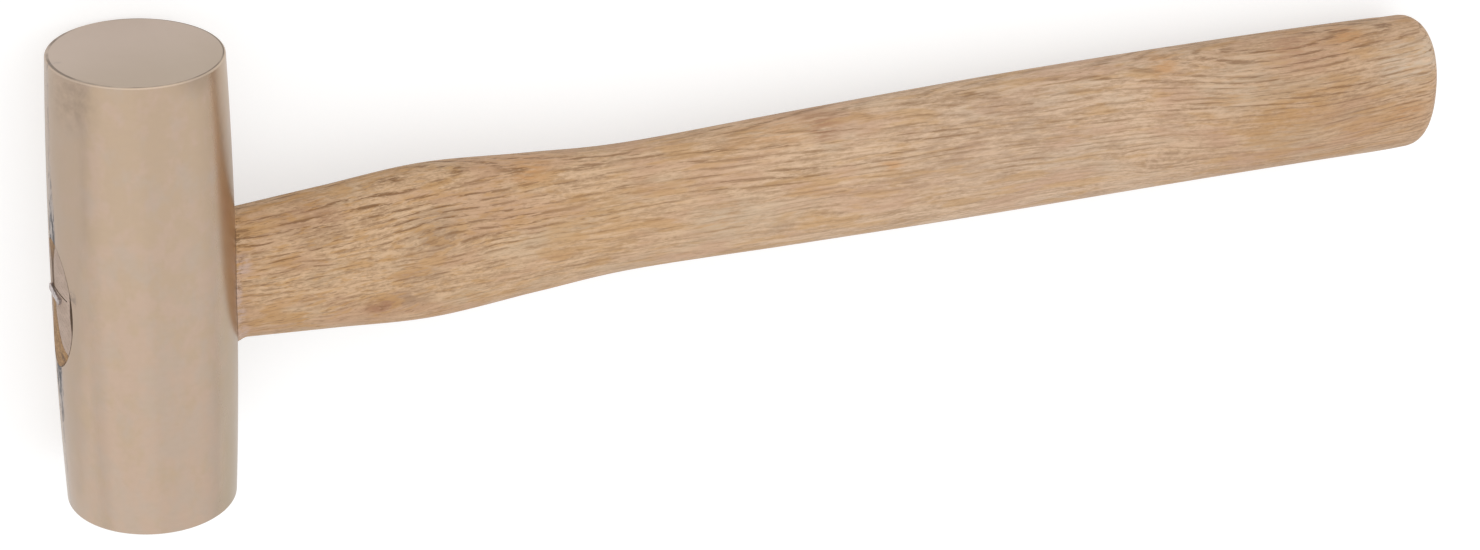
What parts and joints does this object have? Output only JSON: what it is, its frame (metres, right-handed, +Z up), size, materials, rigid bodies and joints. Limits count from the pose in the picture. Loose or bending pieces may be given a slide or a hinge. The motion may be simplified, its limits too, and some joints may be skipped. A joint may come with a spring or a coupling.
{
  "type": "club hammer",
  "caption": "Bronze club hammer with a barrel-shaped head, a long oval wooden handle and wedges in its eye, lying on its side.",
  "frame": {"origin": "middle of the footprint on the surface that the hammer lies on", "axes": "+X along the handle from the head to the butt, +Y along the head from face to face, +Z up while the hammer lies on its side"},
  "size_m": [0.3686, 0.108, 0.04],
  "materials": {
    "bronze": "satin aluminium bronze, turned smooth",
    "handle_wood": "fine-sanded ring-porous hardwood with no varnish",
    "wedge_wood": "darker wood, cut flush",
    "wedge_steel": "plain steel strip"
  },
  "bodies": {
    "root": {"head": "bronze", "handle": "handle_wood", "wooden_wedge": "wedge_wood", "steel_wedge": "wedge_steel"}
  },
  "joints": []
}
